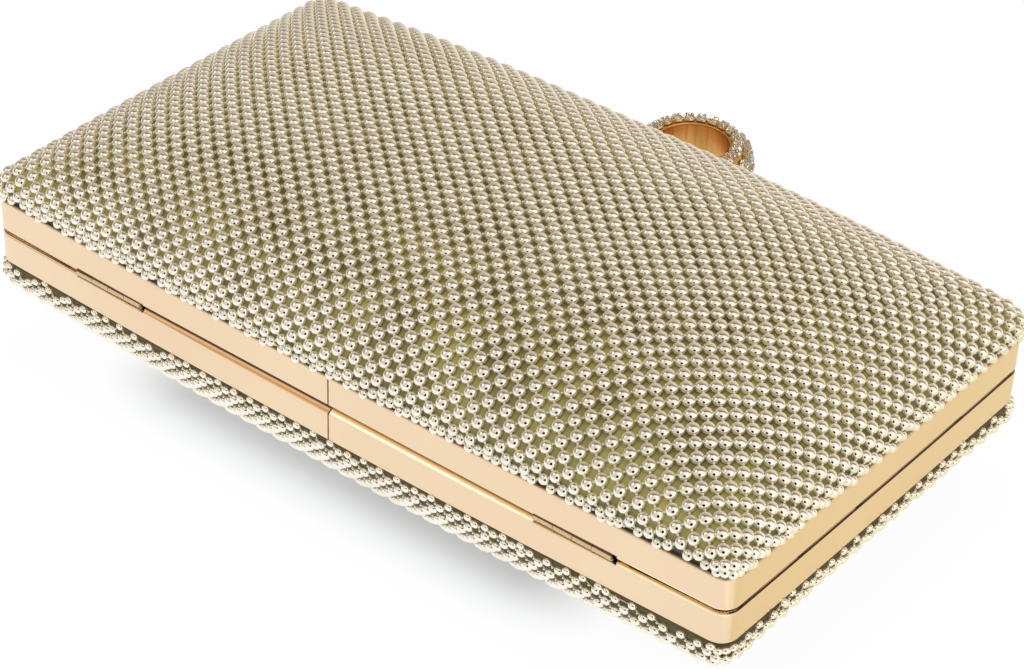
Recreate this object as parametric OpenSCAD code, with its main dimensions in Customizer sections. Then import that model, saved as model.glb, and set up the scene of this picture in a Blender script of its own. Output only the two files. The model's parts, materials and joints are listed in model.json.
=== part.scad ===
// Minaudiere: a rigid evening clutch of two pillow-shaped halves on a hinged metal frame.
// It lies on its back half. X runs along the hinge, +Y points to the clasp and +Z is up.

/* [Case] */
// Length of the frame at its corners
case_l = 200; // [185:1:215]
// Width of the frame at its corners
case_w = 107.2; // [98:0.1:116]
// How far each long side bows out at its middle
long_bow = 1.4; // [0.8:0.1:2]
// How far each short side bows out at its middle
short_bow = 0.2; // [0:0.05:0.5]
// Radius of the frame's outer corners
corner_r = 4; // [3:0.25:6]

/* [Frame bands] */
// Height of one band, from the parting plane to the pillow
band_h = 8; // [7.5:0.1:9]
// Thickness of the band's wall
band_wall = 2.2; // [2:0.05:2.6]
// Width of the flange that carries the pillow, from the outer face
flange_w = 5; // [4.8:0.1:7]
// Thickness of that flange
flange_t = 1; // [0.8:0.05:1.2]
// Gap between the two closed bands
parting_gap = 0.3; // [0.2:0.05:0.5]
// Rounding of the edges that face the gap
parting_round = 0.7; // [0.4:0.05:0.9]
// Bevel of the edges beside the pillow
pillow_bevel = 0.25; // [0.1:0.05:0.4]
// Width of the butt seam in the middle of the hinge side
seam_gap = 0.18; // [0.1:0.01:0.25]

/* [Pillow] */
// Rise of the pillow's steep lip under the beads
lip_h = 7.9; // [6:0.1:9]
// Rise of the pillow's crown above the lip
crown_h = 14.6; // [12:0.1:18]
// Height of one bead, and so the thickness of the bead mesh
bead_d = 2.45; // [2:0.05:3]
// How far the beads stand out past the frame's outer face
mesh_overhang = 1.5; // [0.7:0.05:1.7]
// Depth of the hollows between the beads
bead_relief = 0.9; // [0.4:0.05:1.1]
// Thickness of the moulded pan
pan_t = 1.1; // [0.8:0.05:1.4]
// Thickness of the padded lining
lining_t = 1; // [0.7:0.05:1.3]
// Glue line between mesh, pan and lining
glue_t = 0.1; // [0.08:0.01:0.15]
// Depth of the flat that the crown rests on
rest_cut = 0.4; // [0.3:0.05:0.6]

/* [Hinges] */
// Distance of each hinge's middle from the frame's end
hinge_inset = 36.3; // [30:0.1:50]
// Length of one knuckle
knuckle_l = 4.7; // [4:0.1:5.2]
// Radius of the hinge barrel
barrel_r = 1; // [0.9:0.05:1.2]
// How far the barrel stands out of the frame at the outer end
barrel_proud = 0.3; // [0.1:0.05:0.4]
// Radius of the hinge pin
pin_r = 0.5; // [0.4:0.05:0.6]
// Gap left in the notch beyond the last knuckle
notch_play = 1.2; // [0.6:0.1:2]
// Thickness of a hinge leaf
leaf_t = 0.8; // [0.6:0.05:1]
// Height of a hinge leaf inside the band
leaf_h = 5.2; // [4.6:0.1:5.6]
// Widest angle that the lid opens to
open_angle = 80; // [60:1:85]

/* [Ring clasp] */
// Radius of the ring's finger hole
ring_bore_r = 8.2; // [8:0.1:8.8]
// Thickness of the ring's metal at mid height
ring_t = 4.6; // [4.4:0.1:5]
// Height of the ring
ring_h = 11; // [10:0.1:11.6]
// Distance of the ring's centre from the frame
ring_reach = 16.5; // [16.2:0.1:19]
// Radius of one stone
stone_r = 1.25; // [1:0.05:1.3]
// Height of one stone
stone_h = 1.1; // [0.8:0.05:1.3]
// Width of the lever
lever_w = 6; // [5:0.1:7]
// Thickness of the lever's arm
arm_t = 1.2; // [1:0.05:1.4]
// Depth that the nose reaches into the base band
nose_reach = 1.7; // [1.5:0.05:1.8]
// Furthest angle that the ring tips up to
release_angle = 20; // [18:1:22]

/* [Fits] */
// Radial clearance of every hinge pin
pin_clear = 0.05; // [0.03:0.01:0.08]
// Clearance beside knuckles, ears and screws
side_clear = 0.1; // [0.06:0.01:0.15]
// Gap between a glued or soldered piece and its seat
seat_gap = 0.05; // [0.02:0.01:0.1]

/* [Hidden] */
$fn = 48;

// One overrun for every cut, and colours as the photograph shows them
cut_over = 1;
champagne = [0.93, 0.80, 0.62];
bead_silver = [0.80, 0.77, 0.70];
ring_gold = [0.85, 0.58, 0.25];

// Steps of the outline: an odd number along a side leaves a flat in its middle
long_steps = 9;
short_steps = 5;
corner_steps = 8;
layer_corner_steps = 4;
round_steps = 3;
inner_corner_r = 1;

// Shape of the pillow: exponents of the lip and of the crown along and across
lip_power = 13;
lip_softness = 0.47;
crown_power_x = 3.28;
crown_power_y = 2.98;
dome_rings = 8;
ring_spread = 2.3;
dome_h = lip_h + crown_h;
part_z = band_h + dome_h + bead_d - rest_cut;

// Bumps of the bead mesh from its middle to its rim, fewer and larger than the real beads.
// An odd sum puts a bump on the crown's middle and a hollow's place on each corner.
bumps_x = 33;
bumps_y = 20;
corner_fade = 10;
arc_samples = 100;

// Insets of the layers from the frame's outer face
mesh_inset = bead_d - mesh_overhang;
pan_inset = mesh_inset + glue_t;
lining_inset = pan_inset + pan_t + glue_t;

// Locating lips inside the base band
lip_gap = 0.15;
lip_wall = 0.7;
lip_rise = 1.5;
lip_break = 8.5;
hinge_side_start = 6;

// Hinge line: straight along X, just inside the frame's outer face
notch_clear = 0.15;
hinge_x = case_l / 2 - hinge_inset;
stack_l = 4 * knuckle_l + 3 * side_clear;
notch_l = stack_l + side_clear + notch_play;
hinge_y = side_y(hinge_x + notch_l / 2) - barrel_r + barrel_proud;
leaf_y = side_y(hinge_x + notch_l / 2) - band_wall - seat_gap;
notch_depth = barrel_r + notch_clear;
groove_spare = 2;
groove_angle = (open_angle + groove_spare) / 2;
groove_reach = band_wall + long_bow;
bridge_gap = 0.15;

// Small screws that hold the leaves and the catch from inside
screw_r = 0.6;
screw_head_r = 1.1;
screw_head_t = 0.5;
screw_depth = 1.3;
screw_tip_gap = 0.1;
leaf_screw_z = notch_depth + leaf_h / 2;
leaf_screw_share = 0.3;

// Splice plate behind the butt seam
splice_l = 12;
splice_t = 0.8;
splice_margin = 1.4;

// Clasp pivot on the lid band, with its bracket outside the wall
face_y = side_y(0);
plate_t = 0.8;
plate_half_w = 8;
plate_low = 1.2;
plate_high = 6.6;
pivot_y = face_y + 2.6;
pivot_z = 3.8;
hub_r = 1.2;
ear_t = 1.2;
ear_reach = 1.5;
ear_half_h = 1.9;
rivet_x = 6.3;

// Lever: arm, nose, stem and tail
nose_t = 1;
nose_low = -5.6;
nose_w_share = 0.8;
arm_y = pivot_y - hub_r;
stem_half_w = 2.4;
stem_half_h = 2;
tail_h = 2.6;
peg_r = 1.2;
peg_short = 0.3;

// Leaf spring behind the lever's tail
spring_t = 0.3;
spring_half_w = 2;
spring_low = 1.6;
spring_bend_z = 4.6;
spring_tip_z = 6.2;

// Snap catch in the base band, above the nose
catch_half_w = 6.6;
catch_t = 0.35;
roll_r = 0.55;
roll_gap = 0.15;
catch_screw_x = 5.2;
catch_screw_z = -5.6;
catch_foot_z = -6.7;
slot_side = 0.6;
slot_clear = 0.4;
nose_swing_y = pivot_y - face_y + nose_reach;
nose_swing_z = pivot_z - nose_low;
nose_turn_left = max(atan2(nose_swing_y, nose_swing_z) - release_angle, 0);
slot_low = pivot_z - norm([nose_swing_y, nose_swing_z]) * cos(nose_turn_left) - slot_clear;

// Ring: bore, five bands of stones round a bulging outside, and a flat for the stem
ring_y = face_y + ring_reach;
ring_r = ring_bore_r + ring_t;
ring_edge_round = 0.45;
ring_flat = 0.6;
stone_gap = 0.2;
stone_sides = 8;
table_share = 0.55;
band_w = 2 * stone_r + stone_gap;
side_tilt = 20;
side_band_r = ring_r - band_w * sin(side_tilt);
side_band_z = band_w / 2 + band_w * cos(side_tilt);
top_tilt = acos((ring_h / 2 - side_band_z) / band_w);
top_band_r = side_band_r - band_w * sin(top_tilt);
ring_flat_y = ring_r - ring_flat;
bare_half_w = lever_w / 2 + ear_t + 2 * side_clear + stone_r;

// Outer face of a long side at x
function side_y(x) = case_w / 2 + long_bow * (1 - pow(2 * x / case_l, 2));

// Outer face of a short side at y
function end_x(y) = case_l / 2 + short_bow * (1 - pow(2 * y / case_w, 2));

// Points strictly inside a corner arc
function corner(centre, r, start, steps) = [
    for (k = [1 : steps - 1])
        let (a = start + 90 * k / steps)
        [centre[0] + r * cos(a), centre[1] + r * sin(a)]
];

// Radius of the corner arcs and centre of the one at +x and +y, on the outline moved inward
function arc_r(inset) = max(corner_r - inset, inner_corner_r);
function arc_centre(inset) =
    let (to_centre = inset + arc_r(inset))
    [end_x(case_w / 2 - to_centre) - to_centre, side_y(case_l / 2 - to_centre) - to_centre];

// Closed outline of the case, moved inward, anticlockwise from the low right corner
function outline(inset, steps = corner_steps) =
    let (
        r = arc_r(inset),
        cx = arc_centre(inset)[0],
        cy = arc_centre(inset)[1],
        right = [for (k = [0 : short_steps])
            let (y = cy * (2 * k / short_steps - 1))
            [cx + r + end_x(y) - end_x(cy), y]],
        top = [for (k = [0 : long_steps])
            let (x = cx * (1 - 2 * k / long_steps))
            [x, cy + r + side_y(x) - side_y(cx)]]
    )
    concat(
        right, corner([cx, cy], r, 0, steps),
        top, corner([-cx, cy], r, 90, steps),
        [for (p = right) -p], corner([-cx, -cy], r, 180, steps),
        [for (p = top) -p], corner([cx, -cy], r, 270, steps)
    );

// Triangles between two neighbouring loops of n points that start at a and b
function strip(a, b, n) = [
    for (i = [0 : n - 1], half = [0, 1])
        let (j = (i + 1) % n)
        half == 0 ? [a + i, b + j, a + j] : [a + i, b + i, b + j]
];

// Band swept round the outline: each profile point is an inset and a height
module sweep_band(profile) {
    n = len(outline(0));
    m = len(profile);
    points = [for (p = profile) for (q = outline(p[0])) [q[0], q[1], p[1]]];
    faces = [for (k = [0 : m - 1]) each strip(k * n, ((k + 1) % m) * n, n)];
    polyhedron(points, faces);
}

// Height of the pillow at a point, where rho runs from 0 in the middle to 1 at the rim
function pillow_z(rho, x, y) =
    let (
        s = min(abs(2 * x / case_l), 1),
        t = min(abs(y / side_y(x)), 1),
        lip = lip_h * pow(1 - pow(rho, lip_power), lip_softness),
        crown = crown_h * (1 - pow(s, crown_power_x)) * (1 - pow(t, crown_power_y))
    )
    rho < 1 ? lip + crown : 0;

// Rings of a pillow surface from the middle outward, as deep as drop under the beads
function pillow_points(inset, drop) =
    let (
        edge = outline(inset, layer_corner_steps),
        full = outline(0, layer_corner_steps),
        scale_z = (dome_h - drop) / dome_h
    )
    [for (k = [1 : dome_rings]) for (i = [0 : len(edge) - 1])
        let (rho = 1 - pow(1 - k / dome_rings, ring_spread))
        [rho * edge[i][0], rho * edge[i][1],
            -scale_z * pillow_z(rho, rho * full[i][0], rho * full[i][1])]];

// Triangles of a pillow surface that faces down, from its rings of n points and the middle point
function pillow_faces(n) = concat(
    [for (k = [0 : dome_rings - 2]) each strip(k * n, (k + 1) * n, n)],
    [for (i = [0 : n - 1]) [dome_rings * n, i, (i + 1) % n]]
);

// The same triangles turned to face up, for points that start later by first
function turned(faces, first) = [for (f = faces) [f[0] + first, f[2] + first, f[1] + first]];

// One layer of the pillow, between an outer and an inner surface, hanging below its rim
module pillow_layer(outer, outer_drop, inner, inner_drop) {
    n = len(outline(0, layer_corner_steps));
    below = pillow_faces(n);
    first = dome_rings * n + 1;
    points = concat(
        pillow_points(outer, outer_drop), [[0, 0, outer_drop - dome_h]],
        pillow_points(inner, inner_drop), [[0, 0, inner_drop - dome_h]]
    );
    rim = strip((dome_rings - 1) * n, first + (dome_rings - 1) * n, n);
    polyhedron(points, concat(below, turned(below, first), rim));
}

// Rim point in the direction (p, q) of a square, whose corners land on the corner arcs
function rim_point(p, q, inset) =
    let (
        r = arc_r(inset),
        c = arc_centre(inset),
        x = p * (end_x(q * (case_w / 2 - inset)) - inset),
        y = q * (side_y(p * (case_l / 2 - inset)) - inset),
        d = [abs(x), abs(y)] - c,
        pull = min(d) > 0 ? min(r / norm(d), 1) : 1
    )
    [sign(x) * (c[0] + pull * d[0]), sign(y) * (c[1] + pull * d[1])];

// Point of the beads' outer surface where the larger of u and v is 1 at the rim, sunk inward
function bead_point(u, v, sink) =
    let (
        rho = max(abs(u), abs(v)),
        p = rho > 0 ? u / rho : 0,
        q = rho > 0 ? v / rho : 0,
        edge = rho * rim_point(p, q, sink - mesh_overhang),
        full = rho * rim_point(p, q, 0),
        scale_z = (dome_h + bead_d - sink) / dome_h
    )
    [edge[0], edge[1], -scale_z * pillow_z(rho, full[0], full[1])];

// Places from 0 in the middle to 1 at the rim, at even steps over the surface towards (p, q)
function even_places(count, p, q) =
    let (
        share = [for (k = [0 : arc_samples]) 1 - pow(1 - k / arc_samples, ring_spread)],
        path = [for (t = share) bead_point(t * p, t * q, 0)],
        walked = [
            for (k = 0, sum = 0; k <= arc_samples;
                sum = sum + (k < arc_samples ? norm(path[k + 1] - path[k]) : 0), k = k + 1)
                [sum, share[k]]
        ]
    )
    [for (i = [0 : count]) lookup(i / count * walked[arc_samples][0], walked)];

// How far a hollow sinks: not at the rim, less towards the corners, not where the bag rests
function hollow_depth(u, v, rests) =
    let (surface_z = bead_point(u, v, 0)[2])
    max(abs(u), abs(v)) == 1 || (rests && surface_z < rest_cut - dome_h - bead_d)
        ? 0
        : bead_relief * min(corner_fade * (2 - abs(u) - abs(v)), 1);

// Triangles of a flat rim between two loops of point numbers, merged by their turn round the middle
function rim_between(points, outer, inner) =
    let (
        m = len(outer),
        n = len(inner),
        start = atan2(points[outer[0]][1], points[outer[0]][0]),
        turns = [for (loop = [outer, inner]) [for (k = loop)
            (atan2(points[k][1], points[k][0]) - start + 360) % 360]],
        outer_turn = concat(turns[0], 360),
        inner_turn = concat(turns[1], 360 + turns[1][0])
    )
    [for (i = 0, j = 0, walk_outer = outer_turn[1] <= inner_turn[1]; i + j < m + n;
        i = i + (walk_outer ? 1 : 0),
        j = j + (walk_outer ? 0 : 1),
        walk_outer = j == n || (i < m && outer_turn[i + 1] <= inner_turn[j + 1]))
        walk_outer
            ? [outer[i % m], inner[j % n], outer[(i + 1) % m]]
            : [outer[i % m], inner[j % n], inner[(j + 1) % n]]
    ];

// The bead mesh: bumps and hollows in turn outside, the smooth seat of the pan inside
module bead_layer(rests) {
    us = even_places(bumps_x, 1, 0);
    vs = even_places(bumps_y, 0, 1);
    columns = 2 * bumps_x;
    rows = 2 * bumps_y;
    grid = [
        for (i = [0 : columns], j = [0 : rows])
            let (
                u = sign(i - bumps_x) * us[abs(i - bumps_x)],
                v = sign(j - bumps_y) * vs[abs(j - bumps_y)]
            )
            bead_point(u, v, (i + j) % 2 == 1 ? 0 : hollow_depth(u, v, rests))
    ];
    bumps = [
        for (i = [0 : columns - 1], j = [0 : rows - 1], half = [0, 1])
            let (a = i * (rows + 1) + j, b = a + rows + 1)
            (i + j) % 2 == 0
                ? (half == 0 ? [a, b, b + 1] : [a, b + 1, a + 1])
                : (half == 0 ? [a, b, a + 1] : [b, b + 1, a + 1])
    ];
    n = len(outline(0, layer_corner_steps));
    first = len(grid);
    points = concat(grid, pillow_points(mesh_inset, 0), [[0, 0, -dome_h]]);
    outer_rim = concat(
        [for (j = [0 : rows - 1]) columns * (rows + 1) + j],
        [for (i = [0 : columns - 1]) (columns - i) * (rows + 1) + rows],
        [for (j = [0 : rows - 1]) rows - j],
        [for (i = [0 : columns - 1]) i * (rows + 1)]
    );
    inner_rim = [for (k = [0 : n - 1]) first + (dome_rings - 1) * n + k];
    polyhedron(points, concat(
        bumps, turned(pillow_faces(n), first), rim_between(points, outer_rim, inner_rim)
    ));
}

// Wedge along the hinge line that lets one band turn past the other
module hinge_groove() {
    translate([0, -hinge_y, 0])
        rotate([90, 0, 90])
            linear_extrude(case_l + 2 * cut_over, center = true)
                polygon([
                    [0, 0],
                    [-groove_reach, -groove_reach * tan(groove_angle)],
                    [-groove_reach, cut_over],
                    [0, cut_over]
                ]);
}

// Screw or screw hole along Y, its head towards +Y
module screw(r, depth) {
    rotate([90, 0, 0])
        cylinder(h = depth, r = r);
}

// Runs its children at both screw places of both hinges, in a half's own frame
module at_hinge_screws() {
    for (side = [-1, 1], end = [-1, 1])
        translate([
            side * hinge_x + stack_mid() + end * leaf_screw_share * stack_l,
            -leaf_y,
            -leaf_screw_z
        ])
            children();
}

// The knuckles start at the low end of the notch, so they sit off its middle
function stack_mid() = (stack_l - notch_l) / 2 + side_clear;

// One band with its flange, below the parting plane
module band() {
    top = -parting_gap / 2;
    profile = concat(
        [[0, pillow_bevel - band_h]],
        [for (k = [0 : round_steps])
            let (a = 90 * k / round_steps)
            [parting_round * (1 - cos(a)), top - parting_round * (1 - sin(a))]],
        [[band_wall, top], [band_wall, flange_t - band_h],
            [flange_w, flange_t - band_h], [flange_w, -band_h], [pillow_bevel, -band_h]]
    );
    difference() {
        sweep_band(profile);
        hinge_groove();
        for (side = [-1, 1])
            translate([side * hinge_x, -hinge_y, 0])
                cube([notch_l, 4 * band_wall, 2 * notch_depth], center = true);
        translate([0, -face_y, -band_h / 2])
            cube([seam_gap, 4 * flange_w, band_h + 2 * cut_over], center = true);
        at_hinge_screws()
            screw(screw_r + pin_clear, screw_depth + seat_gap);
    }
}

// One leaf with two of the four knuckles: first is 0 or 1
module hinge_leaf(first) {
    reach = hinge_y - leaf_y + leaf_t;
    difference() {
        union() {
            translate([0, -leaf_y, -notch_depth - leaf_h])
                cube([stack_l, leaf_t, leaf_h]);
            for (k = [first, first + 2])
                translate([k * (knuckle_l + side_clear), 0, 0]) {
                    translate([0, -hinge_y, 0])
                        rotate([0, 90, 0])
                            cylinder(h = knuckle_l, r = barrel_r);
                    translate([0, -hinge_y, -barrel_r])
                        cube([knuckle_l, reach, barrel_r - bridge_gap]);
                    translate([0, -leaf_y, -notch_depth - seat_gap])
                        cube([knuckle_l, leaf_t, notch_depth + seat_gap - bridge_gap]);
                }
        }
        translate([-cut_over, -hinge_y, 0])
            rotate([0, 90, 0])
                cylinder(h = stack_l + 2 * cut_over, r = pin_r + pin_clear);
        for (end = [-1, 1])
            translate([
                stack_l / 2 + end * leaf_screw_share * stack_l,
                leaf_t + cut_over - leaf_y,
                -leaf_screw_z
            ])
                screw(screw_r + pin_clear, leaf_t + 2 * cut_over);
    }
}

// Runs its children where the knuckle stack of a hinge starts
module at_hinge(side) {
    translate([side * hinge_x - notch_l / 2 + side_clear, 0, 0])
        children();
}

module hinge_screws() {
    at_hinge_screws()
        translate([0, leaf_t + seat_gap, 0]) {
            screw(screw_r, leaf_t + seat_gap + screw_depth - screw_tip_gap);
            translate([0, screw_head_t, 0])
                screw(screw_head_r, screw_head_t);
        }
}

module splice_plate() {
    translate([
        -splice_l / 2,
        seat_gap + band_wall - face_y,
        flange_t + splice_margin / 2 - band_h
    ])
        cube([splice_l, splice_t, band_h - flange_t - 2 * splice_margin]);
}

// The two halves share one parting plane, and the lid mirrors the base
module base_half() {
    translate([0, 0, part_z])
        children();
}

module lid_half() {
    translate([0, 0, part_z])
        mirror([0, 0, 1])
            children();
}

module base_frame() {
    color(champagne)
        base_half()
            difference() {
                band();
                translate([
                    -lever_w / 2 - slot_side,
                    face_y - band_wall - cut_over,
                    slot_low
                ])
                    cube([lever_w + 2 * slot_side, band_wall + 2 * cut_over, band_h]);
                for (side = [-1, 1])
                    translate([side * catch_screw_x, face_y - band_wall, catch_screw_z])
                        rotate([-90, 0, 0])
                            cylinder(h = 2 * screw_depth, r = screw_r + pin_clear, center = true);
            }
}

module base_pan() {
    color("dimgray")
        base_half()
            translate([0, 0, -band_h])
                pillow_layer(pan_inset, glue_t, pan_inset + pan_t, glue_t + pan_t);
}

module base_bead_mesh() {
    color(bead_silver)
        difference() {
            base_half()
                translate([0, 0, -band_h])
                    bead_layer(true);
            translate([-case_l / 2, -case_w / 2, -bead_d])
                cube([case_l, case_w, bead_d]);
        }
}

module base_lining() {
    color("tan")
        base_half()
            translate([0, 0, -band_h])
                pillow_layer(lining_inset, 2 * glue_t + pan_t,
                    lining_inset + lining_t, 2 * glue_t + pan_t + lining_t);
}

module base_splice_plate() {
    color("goldenrod")
        base_half()
            splice_plate();
}

// Two bent strips inside the base band that the lid band drops over
module locating_lips() {
    inner = band_wall + lip_gap;
    color("goldenrod")
        base_half()
            difference() {
                sweep_band([
                    [inner, flange_t + seat_gap - band_h],
                    [inner, lip_rise],
                    [inner + lip_wall, lip_rise],
                    [inner + lip_wall, flange_t + seat_gap - band_h]
                ]);
                translate([-case_l / 2, -case_w, -band_h])
                    cube([case_l, case_w / 2 + hinge_side_start + flange_w, 2 * band_h]);
                translate([-lip_break, 0, -band_h])
                    cube([2 * lip_break, case_w, 2 * band_h]);
            }
}

module left_hinge_base_leaf() {
    color(champagne)
        base_half()
            at_hinge(-1)
                hinge_leaf(0);
}

module right_hinge_base_leaf() {
    color(champagne)
        base_half()
            at_hinge(1)
                hinge_leaf(0);
}

module hinge_pin(side) {
    base_half()
        at_hinge(side)
            translate([0, -hinge_y, 0])
                rotate([0, 90, 0])
                    cylinder(h = stack_l, r = pin_r);
}

module left_hinge_pin() {
    color("silver")
        hinge_pin(-1);
}

module right_hinge_pin() {
    color("silver")
        hinge_pin(1);
}

module base_hinge_screws() {
    color("silver")
        base_half()
            hinge_screws();
}

// A spring leaf on the band's inner face, whose rolled end holds the nose down
module catch_spring() {
    leaf_top = nose_low + nose_t + roll_gap + 2 * roll_r;
    leaf_back = face_y - band_wall - seat_gap - catch_t;
    roll_y = face_y - nose_reach + roll_r / 2;
    color("silver")
        base_half()
            difference() {
                union() {
                    translate([-catch_half_w, leaf_back, catch_foot_z])
                        cube([2 * catch_half_w, catch_t, leaf_top - catch_foot_z]);
                    translate([-lever_w / 2, leaf_back, leaf_top - catch_t])
                        cube([lever_w, roll_y - leaf_back, catch_t]);
                    translate([-lever_w / 2, roll_y, leaf_top - roll_r])
                        rotate([0, 90, 0])
                            cylinder(h = lever_w, r = roll_r);
                }
                for (side = [-1, 1])
                    translate([side * catch_screw_x, leaf_back - cut_over, catch_screw_z])
                        rotate([-90, 0, 0])
                            cylinder(h = catch_t + 2 * cut_over, r = screw_r + pin_clear);
            }
}

module catch_screws() {
    head_y = face_y - band_wall - 2 * seat_gap - catch_t;
    color("silver")
        base_half()
            for (side = [-1, 1])
                translate([side * catch_screw_x, head_y, catch_screw_z])
                    rotate([-90, 0, 0]) {
                        cylinder(h = catch_t + screw_depth, r = screw_r);
                        translate([0, 0, -screw_head_t])
                            cylinder(h = screw_head_t, r = screw_head_r);
                    }
}

module lid_frame() {
    color(champagne)
        difference() {
            lid_half()
                band();
            base_half()
                for (side = [-1, 1])
                    translate([side * rivet_x, face_y - band_wall / 2, bracket_z()])
                        rotate([90, 0, 0])
                            cylinder(h = 2 * band_wall, r = screw_r + pin_clear, center = true);
        }
}

module lid_pan() {
    color("dimgray")
        lid_half()
            translate([0, 0, -band_h])
                pillow_layer(pan_inset, glue_t, pan_inset + pan_t, glue_t + pan_t);
}

module lid_bead_mesh() {
    color(bead_silver)
        lid_half()
            translate([0, 0, -band_h])
                bead_layer(false);
}

module lid_lining() {
    color("tan")
        lid_half()
            translate([0, 0, -band_h])
                pillow_layer(lining_inset, 2 * glue_t + pan_t,
                    lining_inset + lining_t, 2 * glue_t + pan_t + lining_t);
}

module lid_splice_plate() {
    color("goldenrod")
        lid_half()
            splice_plate();
}

// The lid leaf takes the other two knuckles
module left_hinge_lid_leaf() {
    color(champagne)
        lid_half()
            at_hinge(-1)
                hinge_leaf(1);
}

module right_hinge_lid_leaf() {
    color(champagne)
        lid_half()
            at_hinge(1)
                hinge_leaf(1);
}

module lid_hinge_screws() {
    color("silver")
        lid_half()
            hinge_screws();
}

// Middle height of the bracket's plate
function bracket_z() = (plate_low + plate_high) / 2;

module clasp_bracket() {
    color(ring_gold)
        base_half()
            difference() {
                union() {
                    translate([-plate_half_w, face_y, plate_low])
                        cube([2 * plate_half_w, plate_t, plate_high - plate_low]);
                    for (side = [-1, 1])
                        translate([
                            side * (lever_w / 2 + side_clear + ear_t / 2) - ear_t / 2,
                            face_y,
                            pivot_z - ear_half_h
                        ])
                            cube([ear_t, pivot_y + ear_reach - face_y, 2 * ear_half_h]);
                }
                translate([0, pivot_y, pivot_z])
                    rotate([0, 90, 0])
                        cylinder(h = 2 * plate_half_w, r = pin_r + pin_clear, center = true);
                for (side = [-1, 1])
                    translate([side * rivet_x, face_y, bracket_z()])
                        rotate([90, 0, 0])
                            cylinder(h = 4 * plate_t, r = screw_r + pin_clear, center = true);
            }
}

module bracket_rivets() {
    outer = face_y + plate_t + seat_gap;
    inner = face_y - band_wall - seat_gap;
    color(ring_gold)
        base_half()
            for (side = [-1, 1])
                translate([side * rivet_x, 0, bracket_z()]) {
                    translate([0, outer, 0])
                        screw(screw_r, outer - inner);
                    translate([0, outer + screw_head_t, 0])
                        screw(screw_head_r, screw_head_t);
                    translate([0, inner, 0])
                        screw(screw_head_r, screw_head_t);
                }
}

module clasp_pin() {
    color("silver")
        base_half()
            translate([0, pivot_y, pivot_z])
                rotate([0, 90, 0])
                    cylinder(h = lever_w + 2 * (side_clear + ear_t), r = pin_r, center = true);
}

// A bent strip that presses the lever's tail outward
module clasp_spring() {
    back = face_y + plate_t + seat_gap;
    tip = pivot_y - seat_gap;
    color("silver")
        base_half()
            rotate([90, 0, 90])
                linear_extrude(2 * spring_half_w, center = true)
                    polygon([
                        [back, spring_low],
                        [back + spring_t, spring_low],
                        [back + spring_t, spring_bend_z],
                        [tip, spring_tip_z],
                        [tip - spring_t, spring_tip_z],
                        [back, spring_bend_z]
                    ]);
}

module clasp_lever() {
    nose_w = lever_w * nose_w_share;
    flat_y = ring_y - ring_flat_y;
    color(ring_gold)
        base_half()
            difference() {
                union() {
                    translate([0, pivot_y, pivot_z])
                        rotate([0, 90, 0])
                            cylinder(h = lever_w, r = hub_r, center = true);
                    translate([-lever_w / 2, arm_y, nose_low])
                        cube([lever_w, arm_t, pivot_z - nose_low]);
                    translate([-nose_w / 2, face_y - nose_reach, nose_low])
                        cube([nose_w, arm_y + arm_t - face_y + nose_reach, nose_t]);
                    translate([-stem_half_w, arm_y, -stem_half_h])
                        cube([2 * stem_half_w, flat_y - arm_y, 2 * stem_half_h]);
                    translate([0, flat_y - arm_t, 0])
                        rotate([-90, 0, 0])
                            cylinder(h = arm_t + ring_t - ring_flat - peg_short, r = peg_r);
                    translate([-lever_w / 2, pivot_y, pivot_z])
                        cube([lever_w, hub_r, tail_h]);
                }
                translate([0, pivot_y, pivot_z])
                    rotate([0, 90, 0])
                        cylinder(h = lever_w + 2 * cut_over, r = pin_r + pin_clear, center = true);
            }
}

module clasp_ring() {
    color(ring_gold)
        base_half()
            translate([0, ring_y, 0])
                difference() {
                    rotate_extrude()
                        polygon([
                            [ring_bore_r, ring_edge_round - ring_h / 2],
                            [top_band_r, -ring_h / 2],
                            [side_band_r, -side_band_z],
                            [ring_r, -band_w / 2],
                            [ring_r, band_w / 2],
                            [side_band_r, side_band_z],
                            [top_band_r, ring_h / 2],
                            [ring_bore_r, ring_h / 2 - ring_edge_round]
                        ]);
                    translate([-stem_half_w - side_clear, -ring_flat_y - cut_over, -stem_half_h - side_clear])
                        cube([
                            2 * (stem_half_w + side_clear),
                            cut_over,
                            2 * (stem_half_h + side_clear)
                        ]);
                    translate([0, cut_over - ring_bore_r, 0])
                        rotate([90, 0, 0])
                            cylinder(h = ring_t + 2 * cut_over, r = peg_r + pin_clear);
                }
}

// One row of cut stones on a band of the ring, left out where the stem meets it
module stone_row(row_r, row_z, tilt, first) {
    count = floor(2 * PI * row_r / band_w);
    for (k = [0 : count - 1]) {
        turn = 360 / count * (k + first);
        if (row_r * abs(cos(turn)) > bare_half_w || sin(turn) > 0)
            rotate([0, 0, turn])
                translate([row_r, 0, row_z])
                    rotate([0, 90 - tilt, 0])
                        cylinder(h = stone_h, r1 = stone_r, r2 = stone_r * table_share, $fn = stone_sides);
    }
}

module ring_stones() {
    color("white")
        base_half()
            translate([0, ring_y, 0]) {
                stone_row(ring_r, 0, 0, 0.5);
                for (side = [-1, 1]) {
                    stone_row((ring_r + side_band_r) / 2, side * (band_w / 2 + side_band_z) / 2,
                        side * side_tilt, 0);
                    stone_row((side_band_r + top_band_r) / 2, side * (side_band_z + ring_h / 2) / 2,
                        side * top_tilt, 0);
                }
            }
}

base_frame();
base_pan();
base_bead_mesh();
base_lining();
base_splice_plate();
locating_lips();
left_hinge_base_leaf();
right_hinge_base_leaf();
left_hinge_pin();
right_hinge_pin();
base_hinge_screws();
catch_spring();
catch_screws();
lid_frame();
lid_pan();
lid_bead_mesh();
lid_lining();
lid_splice_plate();
left_hinge_lid_leaf();
right_hinge_lid_leaf();
lid_hinge_screws();
clasp_bracket();
bracket_rivets();
clasp_pin();
clasp_spring();
clasp_lever();
clasp_ring();
ring_stones();
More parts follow.
